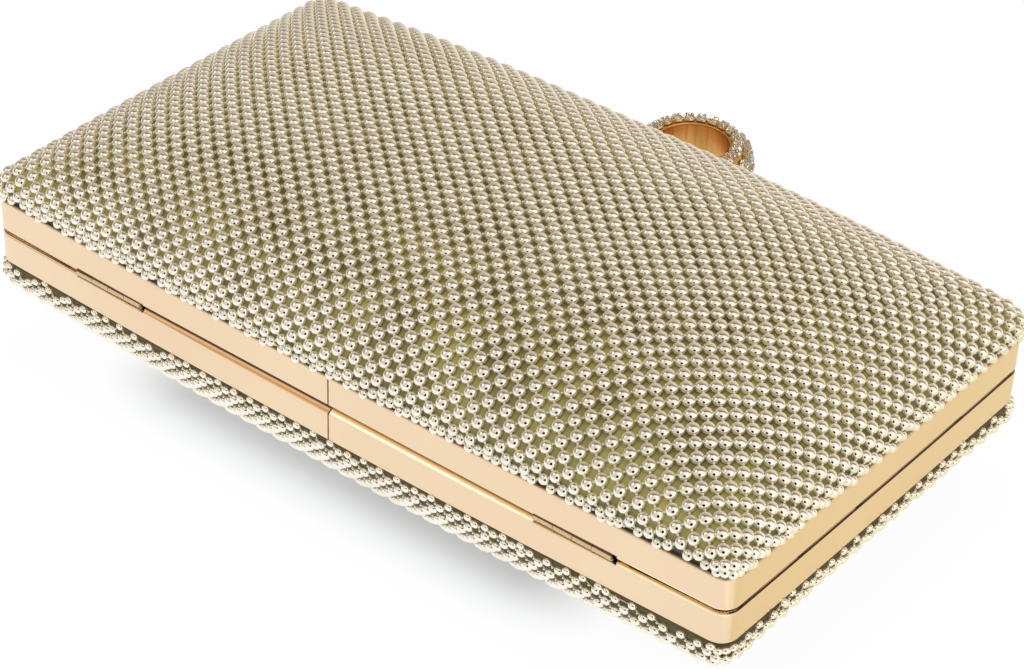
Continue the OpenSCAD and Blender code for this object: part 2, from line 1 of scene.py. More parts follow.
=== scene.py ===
import json
import math
import bpy
import numpy as np
from mathutils import Matrix, Vector

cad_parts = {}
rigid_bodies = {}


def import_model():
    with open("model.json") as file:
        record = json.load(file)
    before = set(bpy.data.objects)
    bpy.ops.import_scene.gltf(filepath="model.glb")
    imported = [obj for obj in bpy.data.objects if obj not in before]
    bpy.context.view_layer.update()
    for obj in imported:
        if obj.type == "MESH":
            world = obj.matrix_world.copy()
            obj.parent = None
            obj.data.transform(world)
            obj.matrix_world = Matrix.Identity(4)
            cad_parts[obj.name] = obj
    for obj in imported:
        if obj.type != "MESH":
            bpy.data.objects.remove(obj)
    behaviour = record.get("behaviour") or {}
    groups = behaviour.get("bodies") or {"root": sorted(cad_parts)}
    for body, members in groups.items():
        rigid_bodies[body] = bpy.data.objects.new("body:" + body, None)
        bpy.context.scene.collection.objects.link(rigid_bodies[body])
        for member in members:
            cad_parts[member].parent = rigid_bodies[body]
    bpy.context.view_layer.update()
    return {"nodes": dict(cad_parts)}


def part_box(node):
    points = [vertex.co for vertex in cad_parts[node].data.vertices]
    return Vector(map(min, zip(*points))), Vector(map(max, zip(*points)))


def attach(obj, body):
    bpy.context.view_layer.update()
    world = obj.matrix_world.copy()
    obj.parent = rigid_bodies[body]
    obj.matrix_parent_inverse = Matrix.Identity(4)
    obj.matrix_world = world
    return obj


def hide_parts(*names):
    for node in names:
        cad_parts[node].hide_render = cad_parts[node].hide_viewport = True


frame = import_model()
nodes = frame["nodes"]
mm = 0.001
random = np.random.default_rng(7)

# sizes of the case in mm and the powers of the pillow's curves, as the frame was built
case = {
    "length": 200.0,
    "width": 107.2,
    "longBow": 1.4,
    "cornerRadius": 4.0,
    "leastRadius": 1.0,
    "bandHeight": 8.0,
    "lipHeight": 7.9,
    "crownHeight": 14.6,
    "lipPower": 13.0,
    "lipSoftness": 0.47,
    "crownPowerX": 3.28,
    "crownPowerY": 2.98,
}
ringLow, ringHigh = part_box("clasp_ring")
partZ = (ringLow[2] + ringHigh[2]) / 2 / mm
ringCentre = Vector((
    (ringLow[0] + ringHigh[0]) / 2,
    ringHigh[1] - (ringHigh[0] - ringLow[0]) / 2,
    partZ * mm,
))
domeHeight = case["lipHeight"] + case["crownHeight"]


def srgb(r, g, b):
    # a colour picked in 0 to 255 steps, as the linear value that a shader takes
    def linear(c):
        c = c / 255
        return c / 12.92 if c <= 0.04045 else ((c + 0.055) / 1.055) ** 2.4
    return (linear(r), linear(g), linear(b), 1.0)


def deselectAll():
    if bpy.context.object and bpy.context.object.mode != "OBJECT":
        bpy.ops.object.mode_set(mode="OBJECT")
    bpy.ops.object.select_all(action="DESELECT")


def pick(obj):
    deselectAll()
    obj.select_set(True)
    bpy.context.view_layer.objects.active = obj
    return obj


def applyModifiers(obj):
    pick(obj)
    for modifier in list(obj.modifiers):
        bpy.ops.object.modifier_apply(modifier=modifier.name)


def setMaterial(obj, material):
    obj.data.materials.clear()
    obj.data.materials.append(material)


def bakePlace(obj):
    pick(obj)
    bpy.ops.object.transform_apply(location=True, rotation=True, scale=True)


def editAll():
    # into edit mode with everything selected
    bpy.ops.object.mode_set(mode="EDIT")
    bpy.ops.mesh.select_all(action="SELECT")


def leaveEdit():
    bpy.ops.object.mode_set(mode="OBJECT")


def joinAll(parts):
    deselectAll()
    for part in parts:
        part.select_set(True)
    bpy.context.view_layer.objects.active = parts[0]
    bpy.ops.object.join()
    return bpy.context.object


def thicken(obj, thickness, offset):
    wall = obj.modifiers.new("thickness", "SOLIDIFY")
    wall.thickness = thickness * mm
    wall.offset = offset
    applyModifiers(obj)


def addObject(name, mesh):
    obj = bpy.data.objects.new(name, mesh)
    bpy.context.collection.objects.link(obj)
    return obj


# camera, at the photograph's viewing angle
print("camera")
cameraView = {
    "azimuth": 37.68,
    "elevation": 35.83,
    "roll": 2.18,
    "distance": 592.4,
    "aimX": 31.65,
    "aimY": -35.20,
    "aimAbovePart": 23.43,
    "focalPixels": 2967.7,
    "imageWidth": 1024,
    "sensor": 36.0,
}


def makeCamera():
    v = cameraView
    az, el, roll = (math.radians(v[k]) for k in ("azimuth", "elevation", "roll"))
    back = Vector((math.sin(az) * math.cos(el), -math.cos(az) * math.cos(el), math.sin(el)))
    right = Vector((math.cos(az), math.sin(az), 0))
    up = back.cross(right)
    turnedRight = right * math.cos(roll) + up * math.sin(roll)
    turnedUp = up * math.cos(roll) - right * math.sin(roll)
    aim = Vector((v["aimX"], v["aimY"], partZ + v["aimAbovePart"])) * mm
    bpy.ops.object.camera_add(location=aim + back * v["distance"] * mm)
    camera = bpy.context.object
    camera.rotation_mode = "QUATERNION"
    camera.rotation_quaternion = Matrix((turnedRight, turnedUp, back)).transposed().to_quaternion()
    camera.data.sensor_width = v["sensor"]
    camera.data.lens = v["focalPixels"] / v["imageWidth"] * v["sensor"]
    camera.data.clip_start = 0.01
    camera.data.clip_end = 20
    bpy.context.scene.camera = camera
    return back, right


viewBack, viewRight = makeCamera()
bpy.context.scene.view_settings.view_transform = "Standard"


# shader nodes
def addNode(tree, kind, inputs=None, **settings):
    # a node with its settings, each input given as a constant or as the socket that feeds it
    node = tree.nodes.new(kind)
    for name, value in settings.items():
        setattr(node, name, value)
    for name, value in (inputs or {}).items():
        if isinstance(value, bpy.types.NodeSocket):
            tree.links.new(value, node.inputs[name])
        else:
            node.inputs[name].default_value = value
    return node


def mathNode(tree, operation, *values):
    return addNode(tree, "ShaderNodeMath", dict(enumerate(values)), operation=operation).outputs[0]


def objectPlace(tree):
    return addNode(tree, "ShaderNodeTexCoord").outputs["Object"]


def mixShaders(tree, share, first, second):
    inputs = {0: share, 1: first.outputs[0], 2: second.outputs[0]}
    return addNode(tree, "ShaderNodeMixShader", inputs).outputs[0]


def emptyMaterial(name):
    # a material whose nodes are still to come
    material = bpy.data.materials.new(name)
    material.use_nodes = True
    material.node_tree.nodes.clear()
    return material, material.node_tree


# studio: white floor and backdrop, soft lamps and the cards that the bright metal mirrors
print("studio")
studio = {
    "floorSize": 3.0,
    "floorHeight": -0.0001,
    "floorColour": (0.9, 0.925, 0.955, 1),
    "floorGlow": (0.25, 0.95),
    "shadowMiddle": (-0.008, -0.0205, 0),
    "shadowCore": (0.045, 0.0205, 0),
    "shadowFade": (0.028, 0.016, 1),
    "worldColour": (0.93, 0.96, 1.0, 1),
    "worldLight": 0.8,
    "white": (1, 1, 1, 1),
    "tentRadius": 1.5,
    "tentBlend": 0.5,
    "leftGlow": 0.7,
    "rightGlow": 1.2,
}
# the lamps, placed by angles in degrees and a distance in metres
lamps = {
    "key_lamp": {"azimuth": 150, "elevation": 82, "distance": 1.2,
                 "size": 0.45, "power": 5.0, "colour": (1.0, 0.98, 0.95)},
    "fill_lamp": {"azimuth": -15, "elevation": 52, "distance": 1.3,
                  "size": 0.9, "power": 7.0, "colour": (0.97, 0.98, 1.0)},
}
# round cards that hang over the bag and flat ones on the table, which only reflections see
roundCards = {
    "camera_shade": {"azimuth": 37.7, "elevation": 20, "distance": 0.75,
                     "radius": 0.25, "colour": (30, 20, 14), "strength": 1.0},
    "left_softbox": {"azimuth": -45, "elevation": 46, "distance": 1.0,
                     "radius": 0.3, "colour": (255, 250, 240), "strength": 1.1},
}
floorCards = {
    "short_side_card": {"x": (0.1035, 0.36), "y": (-0.05, 0.26), "height": 0.0008,
                        "colour": (244, 236, 206)},
    "corner_card": {"x": (0.128, 0.146), "y": (-0.092, -0.072), "height": 0.0006,
                    "colour": (282, 276, 250)},
}
# what bright metal mirrors, from the front horizon over the top to the far one: degrees and colour
tentColours = [
    (0, (255, 252, 246)), (76, (255, 250, 240)), (86, (146, 132, 124)), (96, (128, 114, 108)),
    (108, (176, 163, 150)), (126, (206, 195, 180)), (150, (216, 206, 191)), (180, (226, 217, 203)),
]
# the rays that see the backdrop and most of the floor as white
whiteRays = ("Is Camera Ray", "Is Glossy Ray", "Is Transmission Ray")


def pathMask(tree, *outputs):
    # one where any of the named rays is traced
    path = addNode(tree, "ShaderNodeLightPath")
    mask = path.outputs[outputs[0]]
    for name in outputs[1:]:
        mask = mathNode(tree, "MAXIMUM", mask, path.outputs[name])
    return mask


def makeWorld():
    world = bpy.data.worlds.new("studioWorld")
    world.use_nodes = True
    bpy.context.scene.world = world
    tree = world.node_tree
    tree.nodes.clear()
    light = addNode(tree, "ShaderNodeBackground",
                    {"Color": studio["worldColour"], "Strength": studio["worldLight"]})
    seen = addNode(tree, "ShaderNodeBackground", {"Color": studio["white"], "Strength": 1.0})
    shown = mixShaders(tree, pathMask(tree, *whiteRays), light, seen)
    addNode(tree, "ShaderNodeOutputWorld", {0: shown})


def makeFloor():
    bpy.ops.mesh.primitive_plane_add(size=studio["floorSize"], location=(0, 0, studio["floorHeight"]))
    floor = bpy.context.object
    floor.name = "studio_floor"
    material, tree = emptyMaterial("floorWhite")
    lit = addNode(tree, "ShaderNodeBsdfDiffuse", {"Color": studio["floorColour"]})
    glow = addNode(tree, "ShaderNodeEmission", {"Color": studio["white"]})
    # the floor's glow share is low beside the hinge side, so the lamps' shadow shows there, and rises away
    # from it, where the glow paints the shadow out
    away = objectPlace(tree)
    for operation, values in (("SUBTRACT", {1: studio["shadowMiddle"]}), ("ABSOLUTE", {}),
                              ("SUBTRACT", {1: studio["shadowCore"]}), ("MAXIMUM", {1: (0, 0, 0)}),
                              ("DIVIDE", {1: studio["shadowFade"]}), ("LENGTH", {})):
        step = addNode(tree, "ShaderNodeVectorMath", {0: away, **values}, operation=operation)
        away = step.outputs["Value" if operation == "LENGTH" else "Vector"]
    shadowed, clear = studio["floorGlow"]
    fade = addNode(tree, "ShaderNodeMapRange", {"Value": away, "To Min": shadowed, "To Max": clear},
                   interpolation_type="SMOOTHSTEP")
    share = mathNode(tree, "MULTIPLY", pathMask(tree, *whiteRays), fade.outputs["Result"])
    addNode(tree, "ShaderNodeOutputMaterial", {0: mixShaders(tree, share, lit, glow)})
    setMaterial(floor, material)


def towards(azimuth, elevation):
    a, e = math.radians(azimuth), math.radians(elevation)
    return Vector((math.sin(a) * math.cos(e), -math.cos(a) * math.cos(e), math.sin(e)))


def addLamp(name, azimuth, elevation, distance, size, power, colour):
    direction = towards(azimuth, elevation)
    bpy.ops.object.light_add(type="AREA", location=direction * distance)
    lamp = bpy.context.object
    lamp.name = name
    lamp.data.shape = "DISK"
    lamp.data.size = size
    lamp.data.energy = power
    lamp.data.color = colour
    lamp.rotation_mode = "QUATERNION"
    lamp.rotation_quaternion = direction.to_track_quat("Z", "Y")
    lamp.visible_glossy = False


def hideFromAllButGlossy(obj):
    # only reflections see it
    for ray in ("camera", "diffuse", "shadow", "transmission"):
        setattr(obj, "visible_" + ray, False)


def makeTent():
    # a dome round the set that only reflections see, with its own colours
    bpy.ops.mesh.primitive_uv_sphere_add(segments=48, ring_count=24, radius=studio["tentRadius"])
    tent = bpy.context.object
    tent.name = "studio_tent"
    bpy.ops.object.shade_smooth()
    material, tree = emptyMaterial("tentGlow")
    place = objectPlace(tree)

    def along(direction):
        dot = addNode(tree, "ShaderNodeVectorMath", {0: place, 1: direction}, operation="DOT_PRODUCT")
        return dot.outputs["Value"]

    front = Vector((viewBack.x, viewBack.y, 0)).normalized()
    height = mathNode(tree, "MAXIMUM", along((0, 0, 1)), 0.0)
    share = mathNode(tree, "DIVIDE", mathNode(tree, "ARCTAN2", height, along(front)), math.pi)
    ramp = addNode(tree, "ShaderNodeValToRGB", {"Fac": share})
    stops = ramp.color_ramp.elements
    while len(stops) < len(tentColours):
        stops.new(0.5)
    for stop, (angle, colour) in zip(stops, tentColours):
        stop.position = angle / 180
        stop.color = srgb(*colour)
    reach = studio["tentBlend"] * studio["tentRadius"]
    side = addNode(tree, "ShaderNodeMapRange",
                   {"Value": along(viewRight), "From Min": -reach, "From Max": reach,
                    "To Min": studio["leftGlow"], "To Max": studio["rightGlow"]})
    glow = addNode(tree, "ShaderNodeEmission",
                   {"Color": ramp.outputs["Color"], "Strength": side.outputs["Result"]})
    addNode(tree, "ShaderNodeOutputMaterial", {0: glow.outputs[0]})
    setMaterial(tent, material)
    hideFromAllButGlossy(tent)


def addRoundCard(name, azimuth, elevation, distance, radius, colour, strength):
    direction = towards(azimuth, elevation)
    bpy.ops.mesh.primitive_circle_add(vertices=32, radius=radius, fill_type="NGON")
    card = bpy.context.object
    card.name = name
    turn = direction.to_track_quat("Z", "Y").to_matrix().to_4x4()
    card.data.transform(Matrix.Translation(direction * distance) @ turn)
    lightCard(card, colour, strength)


def addFloorCard(name, x, y, height, colour):
    bpy.ops.mesh.primitive_plane_add(size=1, location=(sum(x) / 2, sum(y) / 2, height))
    card = bpy.context.object
    card.name = name
    card.scale = (x[1] - x[0], y[1] - y[0], 1)
    bakePlace(card)
    lightCard(card, colour, 1.0)


def lightCard(card, colour, strength):
    material, tree = emptyMaterial(card.name + "Colour")
    glow = addNode(tree, "ShaderNodeEmission", {"Color": srgb(*colour), "Strength": strength})
    addNode(tree, "ShaderNodeOutputMaterial", {0: glow.outputs[0]})
    setMaterial(card, material)
    hideFromAllButGlossy(card)


makeWorld()
makeFloor()
for name, lamp in lamps.items():
    addLamp(name, **lamp)
makeTent()
for name, card in roundCards.items():
    addRoundCard(name, **card)
for name, card in floorCards.items():
    addFloorCard(name, **card)


# shader node groups shared by the materials
print("materials")


def newGroup(name, inputs, output):
    # a group with its inputs by name and value, and one number out
    group = bpy.data.node_groups.new(name, "ShaderNodeTree")
    for socket, value in inputs.items():
        kind = "NodeSocketVector" if isinstance(value, tuple) else "NodeSocketFloat"
        group.interface.new_socket(socket, in_out="INPUT", socket_type=kind).default_value = value
    group.interface.new_socket(output, in_out="OUTPUT", socket_type="NodeSocketFloat")
    return group, group.nodes.new("NodeGroupInput").outputs


def cloudGroup():
    # soft cloudy mask on object coordinates, for finish that varies over a piece
    group, given = newGroup("cloudyFinish", {"Scale": 60.0, "Low": 0.0, "High": 1.0}, "Value")
    noise = addNode(group, "ShaderNodeTexNoise",
                    {"Vector": objectPlace(group), "Scale": given["Scale"], "Detail": 4})
    spread = addNode(group, "ShaderNodeMapRange",
                     {"Value": noise.outputs["Fac"], "From Min": 0.3, "From Max": 0.7,
                      "To Min": given["Low"], "To Max": given["High"]})
    addNode(group, "NodeGroupOutput", {"Value": spread.outputs["Result"]})
    return group


def grainGroup():
    # fine polishing lines, stretched along one axis
    group, given = newGroup("polishGrain", {"Stretch": (1, 1, 1), "Scale": 900.0}, "Height")
    stretched = addNode(group, "ShaderNodeVectorMath", {0: objectPlace(group), 1: given["Stretch"]},
                        operation="MULTIPLY")
    noise = addNode(group, "ShaderNodeTexNoise",
                    {"Vector": stretched.outputs[0], "Scale": given["Scale"], "Detail": 3})
    addNode(group, "NodeGroupOutput", {"Height": noise.outputs["Fac"]})
    return group


def weaveGroup():
    # crossing threads of a satin cloth, as a height
    group, given = newGroup("satinWeave", {"Scale": 2200.0}, "Height")
    threads = []
    for direction in ("X", "Y"):
        wave = addNode(group, "ShaderNodeTexWave",
                       {"Vector": objectPlace(group), "Scale": given["Scale"], "Distortion": 1.5},
                       bands_direction=direction)
        threads.append(wave.outputs["Fac"])
    addNode(group, "NodeGroupOutput", {"Height": mathNode(group, "MAXIMUM", *threads)})
    return group


cloudyFinish = cloudGroup()
polishGrain = grainGroup()
satinWeave = weaveGroup()


# painted shade and highlight on the faces in the groove between the bands and on the hinge barrels, and how
# metallic they stay. The painted seam shade is a line of that half width in mm, on the side of the bag in
# front of seamFront.
paintedGrooveShades = {
    "metallic": 0.25,
    # the gap colour is painted shade in the parting gap between the bands, and the seam colour is painted
    # shade of the narrow seam gap
    "gap": (70, 42, 20),
    "seam": (146, 92, 54),
    "seamHalfWidth": 0.19,
    "seamFront": -50.0,
    # the barrel's top is a painted shadow under the lid's band, its middle painted shade, its foot a
    # painted highlight off the ledge below it
    "barrelTopShadow": (84, 52, 30),
    "barrelMiddleShade": (204, 172, 124),
    "barrelFootHighlight": (255, 246, 210),
}
# painted reflections: stripes of light and shade that stand for what the groove's bevels mirror, each with
# the height off the parting plane in mm where it starts; the short side's dark stripe is painted shade in
# the parting gap
paintedGrooveReflections = {
    "left": [(0, (110, 70, 38)), (0.42, (222, 182, 132)), (0.74, (198, 144, 86)), (1.08, (234, 188, 132))],
    "right": [(0, (190, 132, 70)), (0.4, (236, 192, 124)), (0.68, (255, 246, 214)), (1.1, None)],
    "short": [(0, (62, 38, 20)), (0.55, None)],
}
# how far from the parting plane the bevels reach, in mm
grooveHeight = 2.0


def mixOver(tree, below, above, amount):
    # one colour laid over another by a share
    inputs = {"A": below, "B": above, "Factor": amount}
    return addNode(tree, "ShaderNodeMix", inputs, data_type="RGBA").outputs["Result"]


def partingDistance(tree):
    # how far a point is above or below the parting plane
    parts = addNode(tree, "ShaderNodeSeparateXYZ", {0: objectPlace(tree)})
    return mathNode(tree, "ABSOLUTE", mathNode(tree, "SUBTRACT", parts.outputs["Z"], partZ * mm))


def seamMask(tree):
    # painted shade: a thin dark line down the butt seam on the hinge side, standing for the shade of the
    # narrow seam gap
    parts = addNode(tree, "ShaderNodeSeparateXYZ", {0: objectPlace(tree)})
    line = mathNode(tree, "COMPARE", parts.outputs["X"], 0.0, paintedGrooveShades["seamHalfWidth"] * mm)
    near = mathNode(tree, "LESS_THAN", parts.outputs["Y"], paintedGrooveShades["seamFront"] * mm)
    return mathNode(tree, "MULTIPLY", line, near)


def stripeRamp(tree, side):
    # the painted reflection and shade stripes of one side of the groove over the height off the parting
    # plane
    height = addNode(tree, "ShaderNodeMapRange",
                     {"Value": partingDistance(tree), "From Max": grooveHeight * mm})
    ramp = addNode(tree, "ShaderNodeValToRGB", {"Fac": height.outputs["Result"]})
    ramp.color_ramp.interpolation = "CONSTANT"
    stops = ramp.color_ramp.elements
    stops.remove(stops[1])
    for i, (start, paintedShading) in enumerate(paintedGrooveReflections[side]):
        stop = stops.new(start / grooveHeight) if i else stops[0]
        stop.color = srgb(*paintedShading) if paintedShading else (1.0, 1.0, 1.0, 0.0)
    return ramp


def paintGroove(tree, surface, shown, metallic):
    # faces of the groove and the hinges carry painted shade, highlight and reflection stripes, and show
    # them with less mirror
    paintedShading = addNode(tree, "ShaderNodeAttribute", attribute_name="paintedShading")
    dulled = paintedShading.outputs["Alpha"]
    shown = mixOver(tree, shown, paintedShading.outputs["Color"], dulled)
    layers = []
    for side in paintedGrooveReflections:
        stripe = stripeRamp(tree, side)
        marked = addNode(tree, "ShaderNodeAttribute", attribute_name=side)
        amount = mathNode(tree, "MULTIPLY", marked.outputs["Fac"], stripe.outputs["Alpha"])
        layers.append((stripe.outputs["Color"], amount))
    # the seam's painted shade line
    layers.append((srgb(*paintedGrooveShades["seam"]), seamMask(tree)))
    for colour, amount in layers:
        shown = mixOver(tree, shown, colour, amount)
        dulled = mathNode(tree, "MAXIMUM", dulled, amount)
    dull = addNode(tree, "ShaderNodeMapRange",
                   {"Value": dulled, "To Min": metallic, "To Max": paintedGrooveShades["metallic"]})
    tree.links.new(dull.outputs["Result"], surface.inputs["Metallic"])
    return shown


def shadeRim(tree, shown, shade, near, far):
    # painted shade: darker where the cloth runs down behind the beads at the band
    share = addNode(tree, "ShaderNodeMapRange",
                    {"Value": partingDistance(tree), "From Min": near * mm, "From Max": far * mm,
                     "To Min": 1.0, "To Max": 0.0})
    return mixOver(tree, shown, shade, share.outputs["Result"])


def addMirroredGlow(tree, surface, amount):
    # beads mirror the cloth as brightly as the many beads round about would make it
    glow = addNode(tree, "ShaderNodeEmission", {"Color": srgb(255, 248, 226)})
    share = mathNode(tree, "MULTIPLY", pathMask(tree, "Is Glossy Ray"), amount)
    tree.links.new(mixShaders(tree, share, surface, glow), tree.nodes["Material Output"].inputs[0])


def makeMaterial(name, colour, darker=None, metallic=0.0, roughness=(0.2, 0.3), cloudScale=60.0,
                 grain=None, grainScale=900.0, weave=None, reliefDepth=0.05, reliefHeight=0.2,
                 edgeRound=0.0, mirroredGlow=0.0, painted=False, rimShade=None, **settings):
    # one Principled surface whose colour and roughness drift a little, with grain or weave as relief
    material = bpy.data.materials.new(name)
    material.use_nodes = True
    tree = material.node_tree
    surface = tree.nodes["Principled BSDF"]
    surface.inputs["Metallic"].default_value = metallic
    for socket, value in settings.items():
        surface.inputs[socket.replace("_", " ")].default_value = value

    def place(group, values, output):
        return addNode(tree, "ShaderNodeGroup", values, node_tree=group).outputs[output]

    rough = place(cloudyFinish, {"Scale": cloudScale, "Low": roughness[0], "High": roughness[1]}, "Value")
    tree.links.new(rough, surface.inputs["Roughness"])
    tint = place(cloudyFinish, {"Scale": cloudScale * 0.6, "Low": 0.0, "High": 1.0}, "Value")
    shown = mixOver(tree, colour, darker or tuple(c * 0.9 for c in colour[:3]) + (1,), tint)
    if painted:
        # painted shade, highlight and reflection stripes of the groove and hinges
        shown = paintGroove(tree, surface, shown, metallic)
    if rimShade:
        shown = shadeRim(tree, shown, *rimShade)
    tree.links.new(shown, surface.inputs["Base Color"])
    facing = {}
    if edgeRound:
        rounded = addNode(tree, "ShaderNodeBevel", {"Radius": edgeRound * mm}, samples=4)
        facing["Normal"] = rounded.outputs["Normal"]
    if grain or weave:
        values = {"Scale": weave} if weave else {"Stretch": grain, "Scale": grainScale}
        relief = place(satinWeave if weave else polishGrain, values, "Height")
        bump = addNode(tree, "ShaderNodeBump",
                       {"Strength": reliefDepth, "Distance": reliefHeight * mm, "Height": relief, **facing})
        facing["Normal"] = bump.outputs["Normal"]
    if facing:
        tree.links.new(facing["Normal"], surface.inputs["Normal"])
    if mirroredGlow:
        addMirroredGlow(tree, surface, mirroredGlow)
    return material


frameMetal = makeMaterial("champagneFrame", srgb(245, 220, 187), srgb(241, 214, 180), metallic=1.0,
                          roughness=(0.2, 0.27), cloudScale=45.0, grain=(0.05, 0.05, 1),
                          reliefDepth=0.03, edgeRound=0.35, painted=True)
innerBrass = makeMaterial("innerBrass", srgb(214, 180, 112), metallic=1.0, roughness=(0.3, 0.42),
                          grain=(0.05, 0.05, 1))
ringGold = makeMaterial("ringGold", srgb(226, 178, 110), srgb(216, 162, 92), metallic=1.0,
                        roughness=(0.3, 0.38), cloudScale=120.0, grain=(0.3, 0.3, 1), reliefDepth=0.04)
beadMetal = makeMaterial("beadSilver", srgb(255, 250, 238), srgb(247, 240, 225), metallic=1.0,
                         roughness=(0.06, 0.11), cloudScale=90.0)
threadMetal = makeMaterial("threadSilver", srgb(250, 244, 222), metallic=1.0, roughness=(0.25, 0.35))
# the cloth's rimShade, a painted shade: its colour, and the distances off the parting plane in mm where it
# is full and gone
backingCloth = makeMaterial("oliveBacking", srgb(152, 141, 72), srgb(98, 86, 38), roughness=(0.32, 0.5),
                            cloudScale=140.0, weave=1800.0, reliefDepth=0.15, mirroredGlow=0.25,
                            rimShade=(srgb(34, 27, 12), 9.4, 13.0), Coat_Weight=0.06, Coat_Roughness=0.3)
# the same olive cloth for the base, painted darker as shade for the half that lies underneath, with less
# mirrored glow and a wider painted rim shade
backingShadedBelow = makeMaterial("oliveBackingShadedBelow", srgb(120, 110, 56), srgb(78, 68, 30),
                            roughness=(0.4, 0.55), cloudScale=140.0, weave=1800.0, reliefDepth=0.15,
                            mirroredGlow=0.1, rimShade=(srgb(82, 69, 34), 9.4, 24.0))
panPlastic = makeMaterial("panPlastic", srgb(70, 64, 40), roughness=(0.5, 0.65), grain=(1, 1, 1),
                          reliefDepth=0.08)
liningSatin = makeMaterial("liningSatin", srgb(196, 172, 128), srgb(176, 150, 106), roughness=(0.32, 0.45),
                           cloudScale=30.0, weave=1500.0, reliefDepth=0.2, Sheen_Weight=0.35,
                           Sheen_Roughness=0.35, Anisotropic=0.4)
springSteel = makeMaterial("springSteel", srgb(200, 196, 188), metallic=1.0, roughness=(0.2, 0.32),
                           grain=(0.05, 1, 1))
crystal = makeMaterial("crystal", srgb(255, 249, 234), srgb(244, 236, 220), roughness=(0.0, 0.04),
                       Transmission_Weight=0.9, IOR=1.75)
cupSilver = makeMaterial("cupSilver", srgb(222, 196, 148), srgb(204, 174, 120), metallic=1.0,
                         roughness=(0.2, 0.3), cloudScale=200.0)
foil = makeMaterial("stoneFoil", srgb(236, 232, 224), metallic=1.0, roughness=(0.12, 0.2), cloudScale=200.0)


# frame, hinges and clasp metal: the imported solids, with smooth corners
print("metal")
metalPieces = {
    "base": {
        "base_frame": frameMetal, "left_hinge_base_leaf": frameMetal, "right_hinge_base_leaf": frameMetal,
        "base_splice_plate": innerBrass, "locating_lips": innerBrass, "left_hinge_pin": springSteel,
        "right_hinge_pin": springSteel, "base_hinge_screws": springSteel, "catch_spring": springSteel,
        "catch_screws": springSteel,
    },
    "lid": {
        "lid_frame": frameMetal, "left_hinge_lid_leaf": frameMetal, "right_hinge_lid_leaf": frameMetal,
        "lid_splice_plate": innerBrass, "lid_hinge_screws": springSteel, "clasp_bracket": ringGold,
        "bracket_rivets": ringGold, "clasp_pin": springSteel, "clasp_spring": springSteel,
    },
    "clasp": {"clasp_lever": ringGold, "clasp_ring": ringGold},
}
metalFinish = {"mergeDistance": 0.000002, "smoothAngle": 35.0, "faceWeight": 90}


def smoothCopy(name, body, material):
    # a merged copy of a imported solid, so that its round faces shade as round
    pick(nodes[name])
    bpy.ops.object.duplicate()
    piece = bpy.context.object
    bpy.ops.object.parent_clear(type="CLEAR_KEEP_TRANSFORM")
    piece.name = name + "_finished"
    editAll()
    bpy.ops.mesh.remove_doubles(threshold=metalFinish["mergeDistance"])
    leaveEdit()
    bpy.ops.object.shade_smooth_by_angle(angle=math.radians(metalFinish["smoothAngle"]))
    weighted = piece.modifiers.new("weighted", "WEIGHTED_NORMAL")
    weighted.keep_sharp = True
    weighted.weight = metalFinish["faceWeight"]
    applyModifiers(piece)
    setMaterial(piece, material)
    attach(piece, body)
    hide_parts(name)
    return piece


# where the faces with painted shade and highlight are, in mm off the parting plane and the axes, and how
# far their normals lean
paintedShadingPlaces = {
    "barrelHeight": 1.1,
    "barrelFront": -53.6,
    "barrelTopFrom": 0.5,
    "barrelFootUpTo": -0.45,
    "seamHalfWidth": 0.5,
    "gapHeight": 0.2,
    "bandDepth": 1.5,
    "flat": 0.9,
    "sloping": 0.2,
}


def toneOf(nodeName, centre, normal):
    # the painted shade, highlight or reflection of one face, or none where it keeps the plain metal
    t = paintedShadingPlaces
    x, y, height = centre.x / mm, centre.y / mm, centre.z / mm - partZ
    if "leaf" in nodeName:
        if abs(height) > t["barrelHeight"] or y > t["barrelFront"]:
            return None
        # the barrel's top takes a painted shadow, its middle painted shade, its foot a painted highlight
        if height > t["barrelTopFrom"]:
            return "barrelTopShadow"
        return "barrelMiddleShade" if height > t["barrelFootUpTo"] else "barrelFootHighlight"
    # seam and gap faces take painted shade
    if abs(normal.x) > t["flat"] and abs(x) < t["seamHalfWidth"]:
        return "seam"
    if abs(normal.z) > t["flat"] and abs(height) < t["gapHeight"]:
        return "gap"
    if not t["sloping"] < abs(normal.z) < t["flat"] or abs(height) > grooveHeight:
        return None
    if y < -case["width"] / 2 + t["bandDepth"]:
        return "left" if x < 0 else "right"
    return "short"


def paintTones(piece, nodeName):
    # the painted shade or highlight of every face as a colour, and a mark for the faces that show painted
    # reflection stripes
    found = [toneOf(nodeName, face.center, face.normal) for face in piece.data.polygons]
    values = []
    for paintedShading in found:
        values += srgb(*paintedGrooveShades[paintedShading]) if paintedShading in paintedGrooveShades else (0.0, 0.0, 0.0, 0.0)
    piece.data.attributes.new("paintedShading", "FLOAT_COLOR", "FACE").data.foreach_set("color", values)
    for side in paintedGrooveReflections:
        marks = piece.data.attributes.new(side, "FLOAT", "FACE")
        marks.data.foreach_set("value", [float(paintedShading == side) for paintedShading in found])


for bodyName, group in metalPieces.items():
    for nodeName, metal in group.items():
        piece = smoothCopy(nodeName, bodyName, metal)
        if metal == frameMetal:
            paintTones(piece, nodeName)
for nodeName in ("base_pan", "lid_pan"):
    setMaterial(nodes[nodeName], panPlastic)


# the pillow's shape, as the frame was built, in millimetres
def sideY(x):
    return case["width"] / 2 + case["longBow"] * (1 - (2 * x / case["length"]) ** 2)


